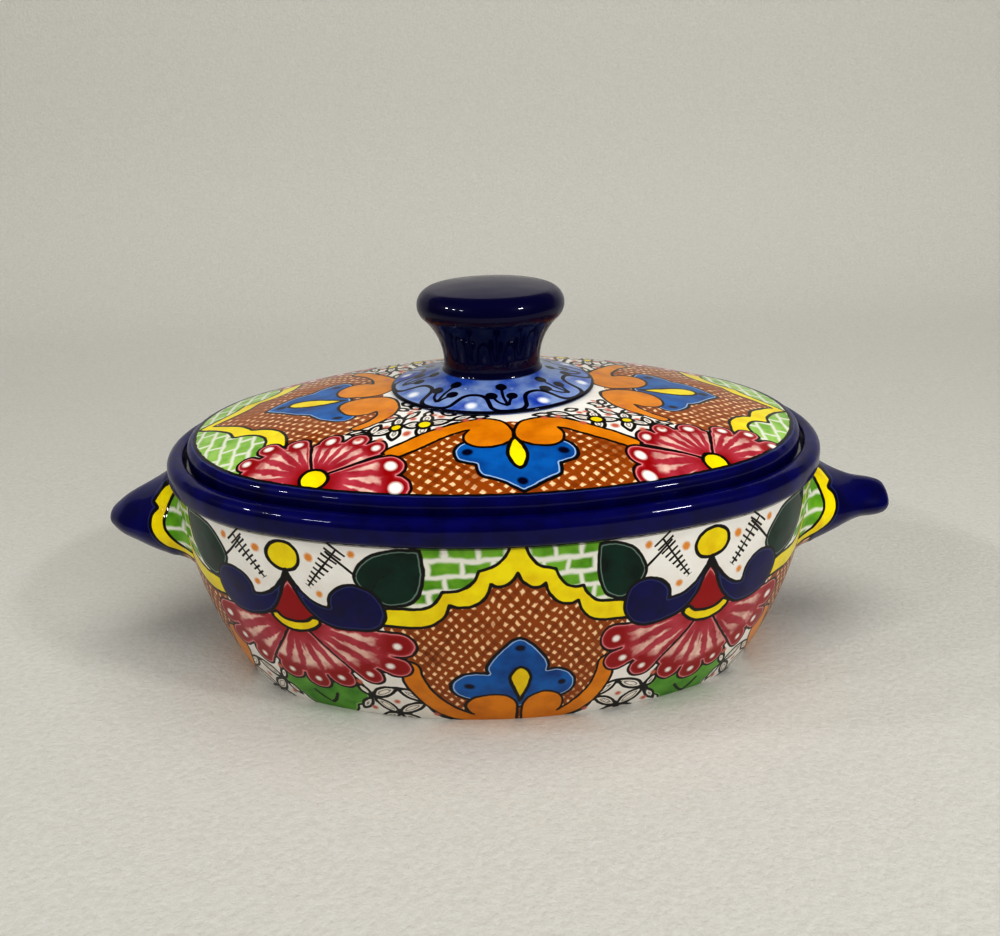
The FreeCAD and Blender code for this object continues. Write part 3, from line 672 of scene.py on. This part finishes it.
BAND_EDGE = """-3,92 -0.5,86 4.5,82.6 8.3,77.8 8.3,77.8 5.4,76.6 5.4,76.6 8.2,73.6 8.4,69
    5.6,64.6 1.5,61.6 """
HANDLE_DRAWING = {
    "hatch": "-30,0 0,0 0,64 -6,64 -30,62",
    "brick": "-30,54 -8,61 1,68 3,73 1.5,80 -3,92 -30,92",
    "band": "-7,92 " + BAND_EDGE + """-5,59 -12.5,55 -17,49 -22,54 -14,60 -9,61.6 -5,63.4 -1.5,66.4
        1.2,69.8 1.8,72.8 0.8,76.2 -0.6,80.3 -3.5,84""",
    "cobalt": "60,110 -3,110 " + BAND_EDGE + "-4,59.4 -4,59.4 -3.5,52 -4.5,43 -7,32 -7,32 60,20",
}
for side, (name, *sizes) in HANDLES.items():
    handle = handle_skin(name + "_glazed", side, *sizes)
    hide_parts(name)
    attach(handle, "bowl_body")

# ---------------------------------------------------------------- lid
# A domed oval lid of the same clay, hollow below, with a thick rolled edge that drops inside the
# rim. The dome closes in from the oval to a round land in the middle, where the knob is luted.
LID_INSET, LID_ROLL, LEDGE, SHOULDER, CROWN = 8.8, 3.6, 93.5, 104.6, 120.0
LID_COLUMNS, DOME_ROWS, HOLLOW, DOME_RUN, BAKE_WIDTH = 768, 80, 20.1, 62, 257

share_in = np.linspace(0, 1, DOME_ROWS)
edge_section = np.concatenate([
    bend((LID_INSET + 2.5, LEDGE + 2.5), 2.5, 270, 180, 6),
    bend((LID_INSET + LID_ROLL, SHOULDER - LID_ROLL), LID_ROLL, 180, 90, 10)[:-1]])
under = np.array([1.0, 0.93, 0.8, 0.62, 0.42, 0.24, 0.1, 0.0])
lid_half = np.concatenate([
    np.column_stack([119.2 - 82.3 * under, 79.2 - 42.3 * under,
                     LEDGE + HOLLOW * (1 - (1 - under) ** 3)]),
    np.column_stack([140 - edge_section[:, 0], 100 - edge_section[:, 0], edge_section[:, 1]]),
    np.column_stack([127.6 - 84.2 * share_in, 87.6 - 44.2 * share_in,
                     SHOULDER + (CROWN - SHOULDER) * (1 - (1 - share_in) ** 1.6)])])
lid_along = np.linspace(-QUARTER, 3 * QUARTER, LID_COLUMNS, endpoint=False) + 1e-6
lid_along = np.where(lid_along > 2 * QUARTER, lid_along - 4 * QUARTER, lid_along)
lid_x, lid_y = oval(rim_turn(lid_along)[None], lid_half[:, :1], lid_half[:, 1:2])
lid = skin("lid_painted", np.stack([lid_x, lid_y, lid_half[:, 2:] + 0 * lid_x], -1),
           (0, 0, LEDGE + HOLLOW), (0, 0, CROWN))
lid.data.set_sharp_from_angle(angle=math.radians(50))
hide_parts("lid")
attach(lid, "lid_body")

# the lid's paintwork: a quarter of it, mirrored to the other three. x runs along the lid from the
# middle and y towards the edge; the mirror lines wander a few millimetres, as drawn by hand
LID_DRAWING = {
    "hatch": [path("-12,50 0,50 20,53 40,60 48,63 47,70 46,80 46,104 -12,104"),
        path("50,-14 50,16 54,28 60,40 70,47 84,46 90,40 94,28 101,21 109,11 119,0 119,-14")],
    "flower": each(petal, """34,46.5,24,44.5,2.3 34,46.5,32.5,37,2.3 34,46.5,35,55,2.4
        34,46.5,43,45.5,2.4 45.5,46,44.5,36,2.2 45.5,46,46,55,2.4 45.5,46,55,49.5,2.3
        36,33,43,40,1.9 24,44.5,15,42,1.9 55,49.5,62,46,1.9 55,49.5,52,40,1.9 44.5,36,52,38,1.7
        44.5,36,50,29,1.7 27,36,22,40,1.7 26,53,22,47,1.7 31,34,34,40,1.5 16,43.8,9,44.4,1.5
        43.5,23,40.5,30,1.5 57,44,64,45,1.5 38,24.5,32.5,26.5,1.6 38,24.5,39.8,17,1.6
        38,24.5,35.5,31,1.7"""),
    "brick": [path("""134,-3 126,0 118,8 111,16 109,22 103,24 97,29 94,42 104,62 124,60 142,20
        142,-3""")],
    "band": [path("""122,-6 126,-6 126.5,0.5 126.5,0.5 119,7.5 112.5,15 110.5,21.5 110.5,21.5
        104.5,23.5 99.5,28.5 97,34.5 96.5,42 88.5,44 88.5,36 91,28 97,22 103,18.8 103,18.8
        106.5,11.5 113.5,5.5 120.5,0 120.5,0""")],
    "fleur": [twin("""0,60 10,64 18,61.5 22.6,65 22,71 15.5,74.4 15.5,74.4 14.8,79.5 8,82.5 0,86.8
        0,86.8""", 0), path("""60,-1 63,8 61,20 64.5,26 70,25 76,19.5 79,14.8 79,14.8 85,12.5 91,7
        97,0 97,0 91,-7 85,-12.5""")],
    "arm": [path("""0.8,62 0.8,55 4.5,49.2 12,46.2 21,47.2 31,51.5 41,56.5 50,62 47,66 38,62.8
        28,58.2 20.5,54.4 17.3,53.6 17.3,53.6 19.2,57 18.6,61.5 14,64.8 7,65.2"""),
        path("""50,1 45.6,3 42.4,7.5 41.4,14 42.6,22 47,31 54,38.5 60,42.5 63,39 57,33 53,26
        52.2,19.5 52.2,19.5 56,21.7 62,20.6 66,15.5 66.6,9 63,3.5 56,1""")],
    "sun": [twin("0,60.5 2.4,65 3.5,70 2.2,74.4 0,76.3", 0),
            path("62,0 62,0 69,2.4 78,4.3 84.5,3.4 87,0 84.5,-3.4 78,-4.3 69,-2.4"),
            *each(spot, "76.5,68.5,5.3 34,46.5,3 45.5,46,2.5")],
    "white_spot": each(spot, """47,79.6,2.5 46.8,69.3,2.3 52,58.4,1.7 59,52,1.8 69.6,48,1.9
        83,45.2,1.9 94.6,43.9,1.9 102.8,50.8,1.7"""),
    "rose_spot": each(spot, """39,40.5,1.4 40.5,51.5,1.6 28.5,50.5,1.4 27.5,40.5,1.4 48,34,1.3
        18.5,46,1.3 49.5,44,1.2 59,51,1.2 40,33.5,1.3 46.5,23,1.2 51,53.5,1.3 37,29.5,1.2
        13,46.5,1.1 30,38.5,1.1 35.8,21,1.1 39.5,31.5,1.1"""),
    "navy_spot": each(spot, "17.8,67.5,2.2,1.8 0,82,2.2,1.7 69,20,2.2,1.8 90,0,2.4,2"),
}


def ease(value, start, end):
    """0 at the start, 1 at the end, and three t squared less two t cubed between them."""
    t = np.clip((value - start) / (end - start), 0, 1)
    return t * t * (3 - 2 * t)


lid_top = lid.data
lid_spots = np.empty(len(lid_top.vertices) * 3, np.float32)
lid_top.vertices.foreach_get("co", lid_spots)
plan_x, plan_y = lid_spots.reshape(-1, 3).T[:2].astype(float) / MM
to_front = ease(-plan_y, 5, 42)
to_end = 1 - ease(np.abs(plan_y + 5), 20, np.where(plan_y > 0, 80, 45))
wave_x = (0.45 * np.sin(plan_y / 7.0 + plan_x / 19.0)
          + 0.3 * np.sin(plan_x / 5.1 - plan_y / 8.3 + 1.0))
wave_y = (0.4 * np.sin(plan_x / 8.0 - plan_y / 23.0 + 2.0)
          + 0.3 * np.sin(plan_x / 4.7 + plan_y / 6.1))
middle_x = to_front * (6 + 3 * ease(-plan_y, 58, 88))
end_y = -11 + 6 * ease(np.abs(plan_x), 60, 92)
middle_y = (to_end * ease(np.abs(plan_x), 25, 50) * end_y
            + ease(-plan_y, 20, 45) * 2.5 * np.clip(plan_x / 70, -1, 1))
lid_across = np.abs(plan_x - middle_x + wave_x)
lid_forward = np.abs(plan_y - middle_y + wave_y)
lid_coats = {name: np.full(plan_x.shape, CLEAR) for name in COATS}
for name, shapes in LID_DRAWING.items():
    for points in shapes:
        found = distance(lid_across, lid_forward, drawn(points))
        lid_coats[name] = np.minimum(lid_coats[name], found)
LID_HEART = 76.5, 67.5
edge_petal, edge_tip = fan_petals(
    lid_across, lid_forward, LID_HEART,
    path("76.5,74 76.5,67.5 48,63.9 46,68 44,82 60,90 76,90"), path("47,79.4,5.6 46.8,69.2,5.6"))
far_petal, far_tip = fan_petals(
    lid_across, lid_forward, LID_HEART,
    path("76.5,67.5 77.4,48 82,46 94,47 103,54 110,62 90,78 76.5,74"),
    path("83,45.6,5 94.4,44.2,4.8 102.4,51.2,4.5"))
lid_mid, lid_tip = fan_petals(
    lid_across, lid_forward, LID_HEART,
    path("76.5,67.5 48.5,62.8 51,60 55.5,55 64.5,50 72,46.5 77,48"),
    path("52.2,58.2,4.6 59.2,52,4.8 69.8,48.2,5"))
lid_coats["side_petal"], lid_coats["mid_petal"] = np.minimum(edge_petal, far_petal), lid_mid
edge_tip = np.where(far_petal < edge_petal, far_tip, edge_tip)
first_dome = len(under) + len(edge_section)
off_dome = np.r_[0:first_dome * LID_COLUMNS, len(lid_half) * LID_COLUMNS]
for values in lid_coats.values():
    values[off_dome] = CLEAR
row_cobalt = DOME_RUN * np.concatenate([
    np.ones(len(under)), np.linspace(-0.12, -0.01, len(edge_section)), share_in])
lid_coats["cobalt"] = np.append(np.clip(row_cobalt, -CLEAR, CLEAR).repeat(LID_COLUMNS),
                                [CLEAR, CLEAR])
put_coats(lid, lid_coats, np.where(lid_mid < 0, lid_tip, edge_tip),
          np.arctan2(lid_across - LID_HEART[0], LID_HEART[1] - lid_forward),
          np.column_stack([plan_y, plan_x, plan_y + FAR_OFF]))
lid.data.materials.append(glaze)

# the dome's share of the bake map is its plan
unroll(lid, lid_half[:, 1:], LID_COLUMNS, [
    (0, len(under) - 1, 2, 0.03), (len(under) - 1, first_dome, 2, 0.06),
    (first_dome, len(lid_half) - 1, 1, 0.02)])
bake = np.empty(len(lid_top.loops) * 2, np.float32)
lid_top.uv_layers["OFBake"].data.foreach_get("uv", bake)
bake = bake.reshape(-1, 2)
corners = np.empty(len(lid_top.loops), np.int32)
lid_top.loops.foreach_get("vertex_index", corners)
dome_loops = slice(first_dome * LID_COLUMNS * 4, (len(lid_half) - 1) * LID_COLUMNS * 4)
plan = np.column_stack([plan_x / BAKE_WIDTH + 0.5, plan_y / BAKE_WIDTH + 0.65])
bake[dome_loops] = plan[corners[dome_loops]]
lid_top.uv_layers["OFBake"].data.foreach_set("uv", bake.ravel())

# ---------------------------------------------------------------- knob
# The knob is thrown on the wheel in one piece: a wide flared foot, a waist and a domed cap. It is
# luted on the lid's round land.
FOOT_RADIUS, FOOT_EDGE, NECK_RADIUS, NECK_TOP, FLARE = 43.4, 121.2, 20.4, 131.0, 5.0
CAP_AT, CAP_ROUND, CAP_TOP = (24.0, 155.6), 7.0, 164.6
KNOB_COLUMNS = 480

# the foot's flank leaves the flare square to its radius, and each arc touches the next
flank_out, flank_up = FOOT_RADIUS - NECK_RADIUS - FLARE, NECK_TOP - FOOT_EDGE
touch = math.atan2(flank_up, flank_out) + math.acos(FLARE / math.hypot(flank_out, flank_up))
flank = np.array([[NECK_RADIUS + FLARE + FLARE * math.cos(touch),
                   NECK_TOP - FLARE * math.sin(touch)]])
step_out, climb, rise = CAP_AT[0] - NECK_RADIUS, CAP_AT[1] - NECK_TOP, CAP_TOP - CAP_AT[1]
waist = (step_out ** 2 + climb ** 2 - CAP_ROUND ** 2) / (2 * (step_out + CAP_ROUND))
crown = (CAP_AT[0] ** 2 + rise ** 2 - CAP_ROUND ** 2) / (2 * (rise - CAP_ROUND))
under_cap = math.degrees(math.atan2(climb, step_out - waist))
over_cap = 90 - math.degrees(math.asin(CAP_AT[0] / (crown - CAP_ROUND)))
slope = np.linspace(0, 1, 30)[:, None]
knob_section = np.concatenate([
    [(43.0, 120.05), (FOOT_RADIUS, 120.5)],
    (1 - slope) * np.array([[FOOT_RADIUS, FOOT_EDGE]]) + slope * flank,
    bend((NECK_RADIUS + FLARE, NECK_TOP), FLARE, 360 - math.degrees(touch), 180, 16)[1:],
    bend((NECK_RADIUS + waist, NECK_TOP), waist, 180, under_cap, 20)[1:],
    bend(CAP_AT, CAP_ROUND, under_cap - 180, over_cap, 22)[1:],
    bend((0, CAP_TOP - crown), crown, over_cap, 89.8, 16)[1:]])
knob_turn = np.linspace(-np.pi, np.pi, KNOB_COLUMNS, endpoint=False)
knob_x = knob_section[:, :1] * np.sin(knob_turn)
knob_y = -knob_section[:, :1] * np.cos(knob_turn)
knob = skin("knob_glazed", np.stack([knob_x, knob_y, knob_section[:, 1:] + 0 * knob_x], -1),
            (0, 0, 120.0), (0, 0, CAP_TOP))
unroll(knob, knob_section, KNOB_COLUMNS, [(0, 32, 2, 0.3), (32, len(knob_section) - 1, 1, 0.3)])
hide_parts("knob")
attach(knob, "lid_body")

# the foot is washed with thin cobalt. Round it runs one wavy line with a white dot under each
# crest and a sprig of three berries over each trough, eight times round
SPRIGS, TURNED_BY = 8, 0.14
knob_run = run_along(knob_section) - 1.3
radius = np.repeat(knob_section[:, 0], KNOB_COLUMNS)
run = np.repeat(knob_run, KNOB_COLUMNS)
pitch = 2 * np.pi / SPRIGS
turned = np.tile(knob_turn, len(knob_section)) - TURNED_BY
from_trough = (turned + pitch / 2) % pitch - pitch / 2
from_crest = pitch / 2 - np.abs(from_trough)
sprig_x, crest_x = from_trough * radius, from_crest * radius
wave_line = distance(crest_x, run, drawn(path("""-3,12.9 0,13.1 2.6,12.6 5,10.6 6.8,7.2 8.6,3.6
    11.5,1.5 16,0.9 20,0.9"""), False), False) - 0.85
sprig = np.full(radius.shape, CLEAR)
for berry_at, size, foot in (((-5.6, 12.6), 2.5, (-0.6, 5.0)), ((-0.6, 19.0), 2.4, (-0.3, 6.0)),
                             ((2.6, 11.8), 2.4, (0.3, 5.4))):
    bent = (berry_at[0] + foot[0]) / 2 - 0.6, (berry_at[1] + foot[1]) / 2 - 1.0
    stalk = drawn([berry_at, bent, foot], False)
    berry = distance(sprig_x, run, drawn(spot(*berry_at, size)))
    sprig = np.minimum(np.minimum(sprig, berry), distance(sprig_x, run, stalk, False) - 0.62)
border = np.minimum(np.abs(run - 0.2) - 1.0, CLEAR)
knob_coats = {"line": np.minimum(np.minimum(wave_line, sprig), border),
              "dip": np.clip(23.2 - run, -9, 9), "dot": np.hypot(crest_x, run - 5.0) - 2.1}
for name, values in knob_coats.items():
    knob.data.attributes.new(name, "FLOAT", "POINT").data.foreach_set(
        "value", np.append(values, [CLEAR, -CLEAR if name == "dip" else CLEAR]))

# Thin cobalt over the white glaze dries to a streaky pale blue, and thick cobalt to a navy that
# is nearly black. Both lie under the same clear glossy coat.
blue, tree, place = material("cobalt-washed tin glaze")
cloud = add(tree, "TexNoise", {"Vector": place, "Scale": 75.0, "Detail": 4.0})["Fac"]
thick = add(tree, "MapRange", [cloud, 0.42, 0.66])[0]
colour = add(tree, "Mix", {0: thick, 6: "#92A8D4", 7: "#345EBA"}, data_type="RGBA")[2]
near_dot = add(tree, "Attribute", attribute_name="dot")["Fac"]
pool = add(tree, "MapRange", [near_dot, 5.5, 1.5, 0, 0.8])[0]
pool = add(tree, "Math", [pool, thick], operation="MULTIPLY")[0]
colour = add(tree, "Mix", {0: pool, 6: colour, 7: "#143CAE"}, data_type="RGBA")[2]
colour = lay(tree, colour, ("dot", "#F4F7FF", 0.9), ("line", "#05051E", 0.12),
             ("dip", "#060338", 0.3))
fire(tree, place, colour, 0.0008)
knob.data.materials.append(blue)

# ---------------------------------------------------------------- floor and light
# A pale cloth on a table that runs up behind as a backdrop. Two broad soft lights leave no image
# on the glaze, and four small lamps draw the glints on it.
sweep = np.array(path("-1.2,0 0.45,0 0.6,0.02 0.72,0.1 0.78,0.25 0.8,0.75"))
sweep_points = [(side, y, z) for y, z in sweep for side in (-2.0, 2.0)]
sweep_mesh = bpy.data.meshes.new("table_cloth")
sweep_mesh.from_pydata(sweep_points, [], [(i, i + 1, i + 3, i + 2) for i in range(0, 10, 2)])
sweep_mesh.polygons.foreach_set("use_smooth", [True] * 5)
cloth = bpy.data.objects.new("table_cloth", sweep_mesh)
bpy.context.scene.collection.objects.link(cloth)
rounding = cloth.modifiers.new("rounding", "SUBSURF")
rounding.levels = rounding.render_levels = 3
linen, tree, place = material("pale table cloth")
weave = add(tree, "TexNoise", {"Vector": place, "Scale": 420.0, "Detail": 3.0})["Fac"]
shade = add(tree, "Mix", {0: weave, 6: "#D9D8D3", 7: "#C8C6BF"}, data_type="RGBA")[2]
nap = add(tree, "Bump", {"Height": weave, "Distance": 0.0006})[0]
surface = add(tree, "BsdfPrincipled", {"Base Color": shade, "Roughness": 0.9, "Normal": nap})
add(tree, "OutputMaterial", {"Surface": surface[0]})
sweep_mesh.materials.append(linen)

room = bpy.data.worlds.new("room")
bpy.context.scene.world = room
room.use_nodes = True
tree = room.node_tree
tree.nodes.clear()
seen = add(tree, "LightPath")["Is Camera Ray"]
bright = add(tree, "MapRange", [seen, 0, 1, 0.1, 0.55])[0]
around = add(tree, "Background", {"Color": "#DDD8CE", "Strength": bright})[0]
add(tree, "OutputWorld", {"Surface": around})
bpy.context.scene.view_settings.view_transform = "Standard"
bpy.context.scene.view_settings.look = "High Contrast"


def lamp(name, place, aim, size, power, tint, mirrored=True):
    """An area light that faces a point. One that isn't mirrored leaves no image on the glaze."""
    light = bpy.data.lights.new(name, "AREA")
    light.shape = "RECTANGLE"
    light.size, light.size_y = size
    light.energy = power
    light.color = srgb(tint)[:3]
    holder = bpy.data.objects.new(name, light)
    away = (np.array(place) - aim) / np.linalg.norm(np.array(place) - aim)
    level = np.cross([0, 0, 1.0], away)
    level /= np.linalg.norm(level)
    holder.matrix_world = stood(level, np.cross(away, level), away, place)
    holder.visible_glossy = mirrored
    bpy.context.scene.collection.objects.link(holder)


lamp("ceiling", (0.15, -0.3, 1.5), (0, 0, 0.05), (1.4, 1.0), 9.5, "#FFFEFB", False)
lamp("front", (0.65, -1.5, 1.0), (0, 0, 0.05), (1.2, 0.8), 8.0, "#FFFFFF", False)
for number, place in enumerate(path("-1.5,-0.2,1.2 -1.35,-0.62,1.2 -1.15,-0.95,1.2")):
    lamp("left_glint_%d" % number, place, (-0.1, -0.07, 0.095), (0.14, 0.07),
         3.0 - 0.9 * number, "#FFFFFF")
lamp("right_glint", (1.1, -0.85, 1.2), (0.08, -0.1, 0.095), (0.2, 0.1), 4.5, "#FFFFFF")
